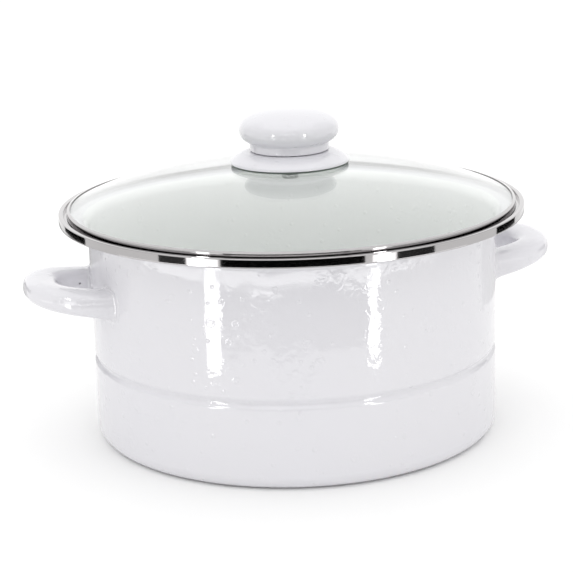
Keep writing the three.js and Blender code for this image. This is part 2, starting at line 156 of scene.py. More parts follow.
class PotSizes(bpy.types.PropertyGroup):
    """Sizes of the pot's shell and of the band on its rim."""

    radius: length("Radius", "Outside of the straight wall", outside_radius("pot_body", 90 * MM))
    sheet: length("Sheet", "Thickness of the enamelled sheet", 1.2 * MM)
    base_corner: length("Base corner", "Outside radius between base and wall", 8 * MM)
    groove_height: length("Groove height", "Middle of the stiffening groove", 50 * MM)
    groove_width: length("Groove width", "Height of the groove's opening", 7 * MM)
    groove_depth: length("Groove depth", "How far the groove reaches in", 1.7 * MM)
    ledge_rise: length("Ledge rise", "From the bend to the edge of the ledge", 1.6 * MM)
    flare: length("Flare", "Outside radius of the bend below the ledge", 6 * MM)
    ledge_radius: length("Ledge radius", "Edge of the ledge", high("pot_body").x)
    steps: IntProperty(name="Steps", description="Faces around the pot", default=192, min=24)


class BandSizes(bpy.types.PropertyGroup):
    """Sizes of the two steel bands."""

    pot_round: length("Pot band rounding", "Radius of the pot band's edges", 0.45 * MM)
    pot_sheet: length("Pot band sheet", "Thickness of the pot's band", 0.5 * MM)
    pot_inner: length("Pot band inside", "Radius of the band's inner wall", 133.6 * MM)
    pot_shelf: length("Pot band shelf", "Inner radius of the seat beside the lid", 131.9 * MM)
    shelf_drop: length("Shelf drop", "From the top of the band down to its seat", 2.1 * MM)
    lid_round: length("Lid band rounding", "Radius of the lid band's outer edges", 0.35 * MM)
    lid_sheet: length("Lid band sheet", "Thickness of the lid's band", 0.4 * MM)
    lid_lip: length("Lid band lip", "How far the lid's band reaches in over the glass", 1.7 * MM)
    lid_crown: length("Lid band crown", "Rise of the lip from its outer edge inwards", 0.5 * MM)
    lid_height: length("Lid band height", "From the bottom of the lid's band to its top", 5.3 * MM)


class HandleSizes(bpy.types.PropertyGroup):
    """Sizes of the two hollow loop handles."""

    rise: turn_angle("Rise", "Slope of the handle's plane", 9)
    root_height: length("Root height", "Middle of the tube where it meets the wall", 93 * MM)
    reach: length("Reach", "From the wall to the tube's centre line at the tip", 32.5 * MM)
    half_span: length("Half span", "From X to the centre line of an arm", 28 * MM)
    squareness: factor("Squareness", "2 is an ellipse, larger is squarer", 2.6, 6)
    root_width: length("Root width", "Width of the tube at the wall", 16.4 * MM)
    root_depth: length("Root depth", "Height of the tube at the wall", 16.4 * MM)
    tip_width: length("Tip width", "Width of the tube at the tip", 19.6 * MM)
    tip_depth: length("Tip depth", "Height of the tube at the tip", 13.6 * MM)
    fillet: length("Fillet", "Radius of the enamel between tube and wall", 2.4 * MM)
    sheet: length("Sheet", "Thickness of the tube's wall", 1.3 * MM)
    vent: length("Vent", "Radius of the vent hole", 1.3 * MM)
    vent_offset: length("Vent offset", "From the wall to the vent hole", 5.5 * MM)


class LidSizes(bpy.types.PropertyGroup):
    """Sizes of the glass."""

    glass: length("Glass", "Thickness of the glass", 3.6 * MM)
    hole: length("Hole", "Radius of the hole in the middle", 5.5 * MM)
    flatness: factor("Flatness", "2 is a plain dome, larger is flatter in the middle", 2.4, 6)


class KnobSizes(bpy.types.PropertyGroup):
    """Sizes of the knob, its base and what holds them."""

    sheet: length("Sheet", "Thickness of the enamelled sheet", 1.2 * MM)
    top_fullness: factor("Top fullness", "Roundness of the bulb above its widest line", 2.3, 6)
    low_fullness: factor("Low fullness", "Roundness of the bulb below its widest line", 2.55, 6)
    top_height: length("Top height", "From the bulb's widest line to its top", 11.8 * MM)
    low_height: length("Low height", "From the widest line to where the bulb would close", 10.6 * MM)
    opening: length("Opening", "Radius of the opening under the bulb", 13 * MM)
    neck: length("Neck", "Radius of the neck", 23.2 * MM)
    neck_height: length("Neck height", "Straight part of the neck", 4.8 * MM)
    crown: factor("Crown", "1 is a cone, larger is rounder", 2.0, 6)
    screw: length("Screw", "Radius of the screw", 2.5 * MM)
    thread_pitch: length("Thread pitch", "Rise of the screw's thread in one turn", 0.8 * MM)
    slot_width: length("Slot width", "Width of the slot in the screw's head", 1.3 * MM)
    slot_depth: length("Slot depth", "Depth of the slot in the screw's head", 1.4 * MM)


class RackSizes(bpy.types.PropertyGroup):
    """Sizes of the wire rack and its two bails."""

    ring_wire: length("Ring wire", "Radius of the rings' wire", 2 * MM)
    cross_wire: length("Cross wire", "Radius of the cross wires", 1.6 * MM)
    foot_wire: length("Foot wire", "Radius of the feet's wire", 1.6 * MM)
    foot_bend: length("Foot bend", "Centre line radius of a foot's bends", 4 * MM)
    bail_wire: length("Bail wire", "Radius of the bails' wire", 1.5 * MM)
    bail_bend: length("Bail bend", "Centre line radius of a bail's two bends", 12 * MM)
    bail_play: length("Bail play", "Around the hinge bar, inside a bail's eye", 0.6 * MM)
    eye_turn: turn_angle("Eye turn", "How far a bail's end curls around the bar", 290)
    weld: length("Weld", "Radius of a weld between two wires", 2.1 * MM)


class Finishes(bpy.types.PropertyGroup):
    """Colours of the finishes."""

    enamel: colour("Enamel", "White enamel", (0.74, 0.735, 0.773))
    enamel_warm: colour("Warm enamel", "Enamel that was fired a little hotter", (0.75, 0.74, 0.764))
    # The white enamel inside the pot, painted brighter than outside: painted light for the dim inside.
    enamel_painted_light: colour("Inside enamel", "White enamel inside the pot", (0.90, 0.91, 0.90))
    steel: colour("Steel", "Polished steel", (0.45, 0.437, 0.44))
    plated: colour("Plated steel", "Bright plated fixings", (0.86, 0.86, 0.86))
    glass: colour("Glass", "Clear glass with a faint tint", (0.975, 0.985, 0.978))
    silicone: colour("Silicone", "Grey-green silicone", (0.10, 0.125, 0.108))
    wire: colour("Wire", "Bright drawn wire", (0.62, 0.62, 0.64))
    floor: colour("Floor", "Pale floor", (0.985, 0.985, 0.98))


class StageSettings(bpy.types.PropertyGroup):
    """Camera and light."""

    distance: length("Camera distance", "From the pot's axis, along the floor", 1057.8 * MM)
    camera_height: length("Camera height", "Above the floor", 372.3 * MM)
    bearing: turn_angle("Camera bearing", "Around the pot, 0 is the front", -16.5)
    pitch: turn_angle("Camera pitch", "Below the horizon", 15.262)
    swing: turn_angle("Camera swing", "To the left of the pot's axis", 0.223)
    roll: turn_angle("Camera roll", "Around its own line of sight", -1.706)
    focal: FloatProperty(
        name="Focal length", description="Of the lens, in millimetres", default=115.34, unit="CAMERA"
    )
    sky: factor("Sky", "Brightness of the light all around", 0.96, 10)
    overhead: factor("Overhead", "Strength of the broad light from above", 0.52, 20)
    strip: factor("Strips", "Brightness of the upright strip lights", 7.0, 50)


def sizes(name):
    """One of the property groups of this scene."""
    return getattr(bpy.context.scene, "canner_" + name)


# ---- Shader nodes -----------------------------------------------------------------------------


class Field:
    """An output socket with arithmetic: each operator adds a Math node."""

    def __init__(self, finish, socket):
        self.finish = finish
        self.socket = socket

    def math(self, operation, *values):
        inputs = dict(enumerate(values))
        return self.finish.make("ShaderNodeMath", {"operation": operation}, inputs)

    def __add__(self, other):
        return self.math("ADD", self, other)

    def __sub__(self, other):
        return self.math("SUBTRACT", self, other)

    def __rsub__(self, other):
        return self.math("SUBTRACT", other, self)

    def __mul__(self, other):
        return self.math("MULTIPLY", self, other)

    def __pow__(self, other):
        return self.math("POWER", self, other)

    def above(self, other):
        return self.math("GREATER_THAN", self, other)

    def clipped(self):
        return self.math("MAXIMUM", self, 0.0)

    __radd__ = __add__
    __rmul__ = __mul__


class Finish:
    """A material under construction."""

    def __init__(self, name):
        self.material = bpy.data.materials.new(name)
        self.material.use_nodes = True
        self.tree = self.material.node_tree
        self.tree.nodes.clear()

    def make(self, kind, settings=None, inputs=None, output=0):
        """Adds a node. Its settings are set first, then its inputs. Returns one of its outputs."""
        node = self.tree.nodes.new(kind)
        for key, value in (settings or {}).items():
            setattr(node, key, value)
        for key, value in (inputs or {}).items():
            if isinstance(value, Field):
                self.tree.links.new(value.socket, node.inputs[key])
            else:
                node.inputs[key].default_value = value
        return Field(self, node.outputs[output]) if node.outputs else None

    def place(self, scale=(1, 1, 1)):
        """Object coordinates, stretched."""
        where = self.make("ShaderNodeTexCoord", output="Object")
        inputs = {"Vector": where, "Scale": scale}
        return self.make("ShaderNodeMapping", {"vector_type": "POINT"}, inputs)

    def axes(self, where):
        """The three parts of a place."""
        node = self.make("ShaderNodeSeparateXYZ", None, {"Vector": where}).socket.node
        return [Field(self, socket) for socket in node.outputs]

    def noise(self, where, scale, detail=2.0, distortion=0.0):
        inputs = {"Vector": where, "Scale": scale, "Detail": detail, "Distortion": distortion}
        return self.make("ShaderNodeTexNoise", None, inputs)

    def cells(self, where, scale, kept):
        """Distance to the middles of scattered cells. Cells with a chance below kept are far away."""
        inputs = {"Vector": where, "Scale": scale}
        distance = self.make("ShaderNodeTexVoronoi", None, inputs, output="Distance")
        chance = Field(self, distance.socket.node.outputs["Color"])
        return distance + (1.0 - chance.above(kept))

    def blend(self, share, first, second):
        """A mix of two colours."""
        settings = {"data_type": "RGBA"}
        return self.make("ShaderNodeMix", settings, {0: share, 6: first, 7: second}, output=2)

    def bump(self, height, depth):
        """A normal from a height between 0 and 1 that stands for a depth in metres."""
        inputs = {"Height": height, "Distance": depth, "Strength": 1.0}
        return self.make("ShaderNodeBump", None, inputs)

    def principled(self, inputs):
        return self.make("ShaderNodeBsdfPrincipled", None, inputs)

    def surface(self, shader):
        self.make("ShaderNodeOutputMaterial", None, {"Surface": shader})
        return self.material


def shared(name):
    """Hands out the material of this name, which the function below it makes the first time."""

    def wrap(make):
        def get():
            return bpy.data.materials.get(name) or make(Finish(name))

        return get

    return wrap


def tint(name, shade=1.0):
    """A colour of the finishes as RGBA, made darker or lighter by shade."""
    return (*(channel * shade for channel in getattr(sizes("finishes"), name)), 1.0)


@shared("fired_enamel")
def enamel_finish(finish):
    """Fired white enamel: glossy, a little uneven, with raised droplets and swirls."""
    where = finish.place()
    coat = finish.blend(finish.noise(where, scale=9.0, detail=1.0), tint("enamel"), tint("enamel_warm"))
    # Inside the pot the enamel takes a brighter colour: painted light for the dim inside.
    inside = finish.make("ShaderNodeAttribute", {"attribute_name": PAINTED_LIGHT_INSIDE}, output="Fac")
    colour_here = finish.blend(inside, coat, tint("enamel_painted_light"))
    swirl = finish.noise(where, SWIRL_SCALE, 1.0, SWIRL_DISTORTION)
    patches = (finish.noise(where, PATCH_SCALE, 1.0) * PATCH_CONTRAST - PATCH_START).clipped()
    drops = (1.0 - (finish.cells(where, DROP_SCALE, KEPT_CELLS) * DROP_TIGHTNESS) ** 2.0).clipped()
    ridge = finish.cells(where, RING_SCALE, KEPT_CELLS) + swirl * RING_WOBBLE - RING_RADIUS
    rings = (1.0 - (ridge * RING_TIGHTNESS) ** 2.0).clipped()
    ripple = finish.noise(where, RIPPLE_SCALE, 1.0, RIPPLE_DISTORTION)
    height = drops * DROP_SHARE + rings * RING_SHARE
    height = height + swirl * patches * SWIRL_SHARE + ripple * RIPPLE_SHARE
    shader = finish.principled(
        {
            "Base Color": colour_here,
            "Roughness": 0.03 + finish.noise(where, scale=160.0) * 0.03,
            "IOR": 1.68,
            "Normal": finish.bump(height, RELIEF),
        }
    )
    return finish.surface(shader)


@shared("turned_steel")
def steel_finish(finish):
    """Polished trim with fine turning marks that run around the Z axis."""
    where = finish.place()
    x, y, z = finish.axes(where)
    radius = (x * x + y * y) ** 0.5
    around = finish.make("ShaderNodeCombineXYZ", None, {"X": radius, "Y": z})
    lines = finish.noise(around, scale=5200.0, detail=2.0)
    smear = finish.noise(where, scale=38.0, detail=3.0)
    shader = finish.principled(
        {
            "Base Color": finish.blend(smear * 0.35, tint("steel"), tint("steel", 0.86)),
            "Metallic": 1.0,
            "Roughness": 0.03 + lines * 0.03 + smear * 0.04,
            "Normal": finish.bump(lines, 0.0007 * MM),
        }
    )
    return finish.surface(shader)


@shared("clear_glass")
def glass_finish(finish):
    """Clear glass. Rays from lamps and rays of scattered light go straight through it."""
    waves = finish.noise(finish.place(), scale=26.0, detail=1.0)
    shader = finish.principled(
        {
            "Base Color": tint("glass"),
            "Roughness": 0.0,
            "IOR": 1.47,
            "Transmission Weight": 1.0,
            "Normal": finish.bump(waves, 0.02 * MM),
        }
    )
    straight = finish.make("ShaderNodeBsdfTransparent", None, {"Color": tint("glass")})
    path = finish.make("ShaderNodeLightPath", output="Is Shadow Ray")
    scattered = Field(finish, path.socket.node.outputs["Is Diffuse Ray"])
    lamps = path.math("MAXIMUM", path, scattered)
    mixed = finish.make("ShaderNodeMixShader", None, {0: lamps, 1: shader, 2: straight})
    return finish.surface(mixed)


@shared("matt_silicone")
def silicone_finish(finish):
    """Matt silicone."""
    grain = finish.noise(finish.place(), scale=1400.0, detail=3.0)
    shader = finish.principled(
        {
            "Base Color": finish.blend(grain, tint("silicone"), tint("silicone", 1.5)),
            "Roughness": 0.45 + grain * 0.2,
            "Normal": finish.bump(grain, 0.02 * MM),
        }
    )
    return finish.surface(shader)


def plain_steel(finish, name, scale, roughness):
    """Steel with drawn or stamped marks, stretched by scale."""
    marks = finish.noise(finish.place(scale), scale=900.0, detail=3.0)
    spots = finish.noise(finish.place(), scale=60.0, detail=2.0)
    shader = finish.principled(
        {
            "Base Color": finish.blend(spots * 0.5, tint(name), tint(name, 0.8)),
            "Metallic": 1.0,
            "Roughness": roughness + marks * 0.12,
            "Normal": finish.bump(marks, 0.004 * MM),
        }
    )
    return finish.surface(shader)


@shared("stamped_steel")
def fastener_finish(finish):
    """Plain stainless steel of the screw, the washers and the insert."""
    return plain_steel(finish, "plated", scale=(1, 1, 3), roughness=0.42)


@shared("drawn_wire")
def wire_finish(finish):
    """Bright drawn wire of the rack."""
    return plain_steel(finish, "wire", scale=(1, 0.15, 1), roughness=0.12)


# ---- Shaping ----------------------------------------------------------------------------------


def outline(bm, corners, closed=False):
    """Adds edges through corners given as (radius, height), and returns the corners' vertices."""
    verts = [bm.verts.new((radius, 0, height)) for radius, height in corners]
    for first, second in zip(verts, verts[1:]):
        bm.edges.new((first, second))
    if closed:
        bm.edges.new((verts[-1], verts[0]))
    return verts


def round_corners(bm, verts, offset, segments=4, affect="VERTICES"):
    """Rounds corners or edges. The offset is what it takes off each edge that meets there."""
    bmesh.ops.bevel(
        bm,
        geom=verts,
        offset=offset,
        offset_type="OFFSET",
        segments=segments,
        profile=0.5,
        affect=affect,
        material=-1,
    )


def spin(bm, geom, angle, steps, centre=(0, 0, 0), axis=Z_AXIS, rise=0.0, merge=False):
    """Spins vertices, edges or a face, rising by a length at each step."""
    return bmesh.ops.spin(
        bm,
        geom=geom,
        cent=centre,
        axis=axis,
        dvec=(0, 0, rise),
        angle=angle,
        steps=steps,
        use_merge=merge,
        use_duplicate=False,
    )


def swing(bm, angle):
    """Turns everything around the Z axis."""
    bmesh.ops.rotate(bm, verts=bm.verts[:], cent=(0, 0, 0), matrix=Matrix.Rotation(angle, 3, "Z"))


def hold(bm, margin=0.35 * MM):
    """Adds a vertex near both ends of each long edge, so that shading stays close to the bends."""
    for edge in [edge for edge in bm.edges if edge.calc_length() > 8 * margin]:
        for vert in list(edge.verts):
            bmesh.utils.edge_split(edge, vert, margin / edge.calc_length())


def turn(bm, steps):
    """Spins the outline once around the Z axis."""
    hold(bm)
    spin(bm, bm.verts[:] + bm.edges[:], FULL_TURN, steps, merge=True)
    settle(bm)


def settle(bm):
    """Merges doubles and points all faces outwards."""
    bmesh.ops.remove_doubles(bm, verts=bm.verts[:], dist=MERGE)
    bmesh.ops.recalc_face_normals(bm, faces=bm.faces[:])


def thicken(bm, sheet):
    """Gives a turned surface its wall, on the side that is inside once its rims are closed."""
    walls = bm.faces[:]
    close_holes(bm)
    bmesh.ops.recalc_face_normals(bm, faces=bm.faces[:])
    lids = [face for face in bm.faces if face not in set(walls)]
    bmesh.ops.delete(bm, geom=lids, context="FACES_ONLY")
    bmesh.ops.solidify(bm, geom=bm.faces[:], thickness=sheet)
    settle(bm)


def close_holes(bm):
    """Closes every open edge loop with a face."""
    rims = [edge for edge in bm.edges if edge.is_boundary]
    bmesh.ops.holes_fill(bm, edges=rims, sides=0)


def piece(bm, name, finish, body, nodes, sharp=40):
    """Makes an object of the bmesh, in place of CAD nodes."""
    mesh = bpy.data.meshes.new(name)
    bm.to_mesh(mesh)
    bm.free()
    mesh.polygons.foreach_set("use_smooth", [True] * len(mesh.polygons))
    mesh.set_sharp_from_angle(angle=math.radians(sharp))
    mesh.materials.append(finish)
    obj = bpy.data.objects.new(name, mesh)
    bpy.context.scene.collection.objects.link(obj)
    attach(obj, body)
    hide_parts(*nodes)
    return obj


class Wire:
    """A round wire drawn through straight runs and bends."""

    def __init__(self, bm, start, direction, radius, sides=16):
        self.bm = bm
        self.radius = radius
        self.at = Vector(start)
        self.direction = Vector(direction).normalized()
        turned = self.direction.to_track_quat("Z", "Y").to_matrix().to_4x4()
        matrix = Matrix.Translation(self.at) @ turned
        circle = bmesh.ops.create_circle(
            bm, cap_ends=False, segments=sides, radius=radius, matrix=matrix
        )
        self.verts = circle["verts"]
        self.first = list(self.verts)

    def edges(self):
        """The edges around the wire's end."""
        ring = set(self.verts)
        return [
            edge
            for vert in self.verts
            for edge in vert.link_edges
            if edge.other_vert(vert) in ring and edge.verts[0] is vert
        ]

    def run(self, distance):
        """A straight run."""
        grown = bmesh.ops.extrude_edge_only(self.bm, edges=self.edges())
        self.verts = [g for g in grown["geom"] if isinstance(g, bmesh.types.BMVert)]
        bmesh.ops.translate(self.bm, verts=self.verts, vec=self.direction * distance)
        self.at += self.direction * distance
        return self

    def bend(self, radius, angle, axis, steps):
        """A bend around an axis that is square to the wire."""
        axis = Vector(axis)
        centre = self.at + axis.cross(self.direction) * radius
        grown = spin(self.bm, self.verts + self.edges(), angle, steps, centre, axis)
        self.verts = [g for g in grown["geom_last"] if isinstance(g, bmesh.types.BMVert)]
        turning = Matrix.Rotation(angle, 3, axis)
        self.at = centre + turning @ (self.at - centre)
        self.direction = turning @ self.direction
        return self

    def close(self):
        """Closes both ends and rounds their edges, as a cropped and tumbled wire's."""
        ends = (self.first, self.verts)
        caps = [bmesh.ops.contextual_create(self.bm, geom=ring)["faces"] for ring in ends]
        edges = [e for faces in caps for face in faces for e in face.edges]
        tumbled = 0.45 * self.radius
        round_corners(self.bm, edges, tumbled, 3, "EDGES")


# ---- Pot --------------------------------------------------------------------------------------


class CANNER_OT_pot_shell(bpy.types.Operator):
    """Spins the enamelled shell: base, wall with its groove, flare and ledge"""

    bl_idname = "canner.pot_shell"
    bl_label = "Pot shell"

    def execute(self, context):
        pot = sizes("pot")
        bm = bmesh.new()
        top = high("pot_body").z - pot.sheet
        bend_height = top - pot.ledge_rise
        half = pot.groove_width / 2
        steps = 8
        groove = []
        for i in range(steps + 1):
            across = 2 * i / steps - 1
            depth = pot.groove_depth * (1 + math.cos(math.pi * across)) / 2
            groove.append((pot.radius - depth, pot.groove_height + across * half))
        rim = [(pot.radius, bend_height), (pot.ledge_radius, top)]
        verts = outline(bm, [(0, 0), (pot.radius, 0), *groove, *rim])
        round_corners(bm, [verts[1]], pot.base_corner, 8)
        flare_offset = 0.84 * pot.flare
        round_corners(bm, [verts[-2]], flare_offset, 6)
        turn(bm, pot.steps)
        thicken(bm, pot.sheet)
        self.mark_painted_light(bm, Z_AXIS * top / 2)
        piece(bm, "pot_shell", enamel_finish(), "pot", ["pot_body"])
        return {"FINISHED"}

    def mark_painted_light(self, bm, middle):
        """Marks the faces that look at the middle of the pot, which are painted brighter: painted light
        inside the pot.
        """
        layer = bm.faces.layers.float.new(PAINTED_LIGHT_INSIDE)
        for face in bm.faces:
            face[layer] = float(face.normal.dot(middle - face.calc_center_median()) > 0)


class CANNER_OT_rim_bands(bpy.types.Operator):
    """Rolls the steel band on the pot's rim and the one on the lid's edge"""

    bl_idname = "canner.rim_bands"
    bl_label = "Rim bands"

    def execute(self, context):
        self.pot_band()
        self.lid_band()
        return {"FINISHED"}

    def pot_band(self):
        band = sizes("band")
        lowest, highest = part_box("pot_rim_band")
        outer = highest.x
        bm = bmesh.new()
        under_lip = band.pot_inner - 1 * MM
        verts = outline(
            bm,
            [
                (under_lip, lowest.z),
                (outer, lowest.z),
                (outer, highest.z),
                (band.pot_inner, highest.z),
                (band.pot_inner, highest.z - band.shelf_drop),
                (band.pot_shelf, highest.z - band.shelf_drop),
            ],
        )
        round_corners(bm, verts[1:4], band.pot_round, 5)
        turn(bm, sizes("pot").steps)
        thicken(bm, band.pot_sheet)
        piece(bm, "pot_band", steel_finish(), "pot", ["pot_rim_band"])

    def lid_band(self):
        band = sizes("band")
        lowest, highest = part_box("lid_rim_band")
        outer = highest.x
        lip = outer - band.lid_lip
        top = lowest.z + band.lid_height
        bm = bmesh.new()
        corners = [(lip, lowest.z), (outer, lowest.z), (outer, top - band.lid_crown), (lip, top)]
        verts = outline(bm, corners)
        round_corners(bm, verts[1:3], band.lid_round, 4)
        turn(bm, sizes("pot").steps)
        thicken(bm, band.lid_sheet)
        piece(bm, "lid_band", steel_finish(), "lid", ["lid_rim_band"])


class CANNER_OT_handles(bpy.types.Operator):
    """Draws the two hollow loop handles, with enamel fillets at their roots and a vent hole each"""

    bl_idname = "canner.handles"
    bl_label = "Handles"

    def execute(self, context):
        for side, angle in (("right", 0), ("left", math.pi)):
            bm = bmesh.new()
            self.tube(bm)
            self.vent(bm)
            swing(bm, angle)
            name = f"handle_{side}"
            piece(bm, f"{name}_tube", enamel_finish(), "pot", [name], sharp=60)
        return {"FINISHED"}

    def centre(self, angle):
        """A point of the centre line in the handle's plane, from -90 to 90 degrees."""
        handle = sizes("handle")
        wall = sizes("pot").radius
        power = 2 / handle.squareness
        narrowing = (handle.tip_width - handle.root_width) / 2 * math.cos(angle)
        root = wall - handle.root_width / 2
        out = math.cos(angle) ** power
        across = math.copysign(abs(math.sin(angle)) ** power, angle)
        reach = wall + handle.reach - root - narrowing
        return Vector((root + reach * out, handle.half_span * across, 0))

    def tilt(self):
        """From the handle's plane to its place on the wall."""
        handle = sizes("handle")
        wall = Vector((sizes("pot").radius, 0, 0))
        turned = Matrix.Rotation(-handle.rise, 4, "Y")
        place = Matrix.Translation(wall + Z_AXIS * handle.root_height)
        return place @ turned @ Matrix.Translation(-wall)

    def stations(self):
        """Along the centre line: point, direction, distance from the wall, share of the tip."""
        handle = sizes("handle")
        start = math.sqrt(sizes("pot").radius ** 2 - handle.half_span**2)
        sunk = -0.3 * MM
        roots = [sunk] + [handle.fillet * share for share in ROOT_SHARES]
        steps = 96
        places = []
        nearby = 0.001
        for angle in [math.pi * (i / steps - 0.5) for i in range(1, steps)]:
            at = self.centre(angle)
            beyond = at.x - start
            if beyond > handle.fillet:
                ahead = self.centre(angle + nearby) - self.centre(angle - nearby)
                places.append((at, ahead.normalized(), beyond, math.cos(angle)))
        first = [(Vector((start + d, -handle.half_span, 0)), X_AXIS.copy(), d, 0.0) for d in roots]
        last = [(Vector((start + d, handle.half_span, 0)), -X_AXIS, d, 0.0) for d in reversed(roots)]
        return first + places + last

    def tube(self, bm):
        """Rounded boxes along the centre line, widened and fitted to the wall at the roots."""
        handle = sizes("handle")
        wall = sizes("pot").radius
        sides, root_zone = 40, 12 * MM
        tilt = self.tilt()
        along = Vector((math.cos(handle.rise), 0, math.sin(handle.rise)))
        rings = []
        for at, ahead, beyond, share in self.stations():
            side = ahead.cross(Z_AXIS)
            width = handle.root_width + (handle.tip_width - handle.root_width) * share
            depth = handle.root_depth + (handle.tip_depth - handle.root_depth) * share**DEPTH_POWER
            boxiness = ROOT_BOXINESS + (TIP_BOXINESS - ROOT_BOXINESS) * share
            grow = 0.0
            if beyond < handle.fillet:
                rest = handle.fillet - max(beyond, 0)
                grow = handle.fillet - math.sqrt(handle.fillet**2 - rest**2)
            fit = max(0.0, 1 - max(beyond, 0) / root_zone) ** 2
            ring = bmesh.ops.create_circle(bm, cap_ends=False, segments=sides, radius=1)["verts"]
            for i, vert in enumerate(ring):
                turned = FULL_TURN * i / sides
                c, s = math.cos(turned), math.sin(turned)
                across = (width / 2 + grow) * math.copysign(abs(c) ** boxiness, c)
                up = (depth / 2 + grow) * math.copysign(abs(s) ** boxiness, s)
                point = tilt @ (at + side * across + Z_AXIS * up)
                for _ in range(3 if fit == 1 else 1):
                    radial = Vector((point.x, point.y, 0)).normalized()
                    missing = wall + beyond - math.hypot(point.x, point.y)
                    point += along * (fit * missing / along.dot(radial))
                vert.co = point
            rings.append(ring)
        for before, after in zip(rings, rings[1:]):
            for i in range(sides):
                j = (i + 1) % sides
                bm.faces.new((before[i], before[j], after[j], after[i]))
        close_holes(bm)
        settle(bm)

    def vent(self, bm):
        """A small hole into the hollow tube, on the inside of the arm at -Y."""
        handle = sizes("handle")
        wall = sizes("pot").radius
        inner = handle.root_width / 2 - handle.half_span
        mark = self.tilt() @ Vector((wall + handle.vent_offset, inner, 0))
        nearest = min(bm.verts, key=lambda v: (v.co - mark).length)
        at = nearest.co.copy()
        round_corners(bm, [nearest], handle.vent, 3)
        reach = 1.05 * handle.vent  # just past the ring of the bevel
        hole = [f for f in bm.faces if max((v.co - at).length for v in f.verts) < reach]
        bmesh.ops.delete(bm, geom=hole, context="FACES")
        bmesh.ops.solidify(bm, geom=bm.faces[:], thickness=handle.sheet)
        settle(bm)


# ---- Lid --------------------------------------------------------------------------------------


class CANNER_OT_lid_glass(bpy.types.Operator):
    """Spins the domed glass with the hole for its screw"""

    bl_idname = "canner.lid_glass"
    bl_label = "Lid glass"

    def execute(self, context):
        lid = sizes("lid")
        lowest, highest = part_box("lid_glass")
        edge_top = lowest.z + lid.glass
        rise = highest.z - edge_top
        steps = 72
        top = []
        for i in range(steps + 1):
            radius = lid.hole + (highest.x - lid.hole) * i / steps
            top.append((radius, edge_top + rise * (1 - (radius / highest.x) ** lid.flatness)))
        bottom = [(radius, height - lid.glass) for radius, height in reversed(top)]
        bm = bmesh.new()
        verts = outline(bm, top + bottom, closed=True)
        corners = [verts[0], verts[steps], verts[steps + 1], verts[-1]]
        round_corners(bm, corners, 0.5 * MM, 3)
        turn(bm, sizes("pot").steps)
        piece(bm, "glass_dome", glass_finish(), "lid", ["lid_glass"], sharp=60)
        return {"FINISHED"}


# ---- Knob -------------------------------------------------------------------------------------


class CANNER_OT_knob(bpy.types.Operator):
    """Spins the knob's bulb, its saucer-shaped base and the gasket under it"""

    bl_idname = "canner.knob"
    bl_label = "Knob"

    def execute(self, context):
        self.bulb()
        self.saucer()
        self.gasket()
        return {"FINISHED"}

    def bulb(self):
        knob = sizes("knob")
        lowest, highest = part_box("knob_bulb")
        widest, radius = highest.z - knob.top_height, highest.x
        steps = 16
        points = []
        for i in range(steps + 1):
            angle = math.pi / 2 * (1 - i / steps)
            power = 2 / knob.top_fullness
            height = widest + knob.top_height * math.sin(angle) ** power
            points.append((radius * math.cos(angle) ** power, height))
        points[0] = (0, highest.z)
        neck_top = lowest.z + knob.neck_height
        steps, crowding = 10, 1.4
        for i in range(1, steps + 1):
            share = (widest - neck_top) * (1 - (1 - i / steps) ** crowding) / knob.low_height
            height = widest - share * knob.low_height
            width = (1 - share**knob.low_fullness) ** (1 / knob.low_fullness)
            points.append((radius * width, height))
        points += [(knob.neck, lowest.z), (knob.opening, lowest.z)]
        bm = bmesh.new()
        verts = outline(bm, points)
        round_corners(bm, [verts[-3]], 0.6 * MM, 4)
        round_corners(bm, [verts[-2]], 0.8 * MM, 4)
        turn(bm, KNOB_STEPS)
        thicken(bm, knob.sheet)
        piece(bm, "knob_bulb_shell", enamel_finish(), "lid", ["knob_bulb"])

    def saucer(self):
        knob = sizes("knob")
        lowest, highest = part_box("knob_base")
        radius = highest.x
        rise = highest.z - lowest.z - knob.sheet
        steps = 12
        slope = []
        for i in range(steps):
            share = 1 - i / steps
            out = knob.neck + (radius - knob.neck) * share
            slope.append((out, highest.z - rise * share**knob.crown))
        points = [
            (radius, lowest.z + 0.1 * MM),
            *slope,
            (knob.neck, highest.z),
            (knob.screw + BORE_PLAY, highest.z),
        ]
        bm = bmesh.new()
        verts = outline(bm, points)
        round_corners(bm, [verts[1]], 0.8 * MM, 4)
        turn(bm, KNOB_STEPS)
        thicken(bm, knob.sheet)
        piece(bm, "knob_saucer", enamel_finish(), "lid", ["knob_base"])

    def gasket(self):
        lowest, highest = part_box("knob_gasket")
        bm = bmesh.new()
        inner = highest.x - 4.4 * MM
        verts = ring_outline(bm, inner, highest.x, lowest.z, highest.z)
        round_corners(bm, verts, 0.3 * MM, 3)
        turn(bm, KNOB_STEPS)
        piece(bm, "gasket", silicone_finish(), "lid", ["knob_gasket"])


def ring_outline(bm, inner, outer, bottom, top):
    """The closed square outline of a ring."""
    corners = [(inner, bottom), (outer, bottom), (outer, top), (inner, top)]
    return outline(bm, corners, closed=True)


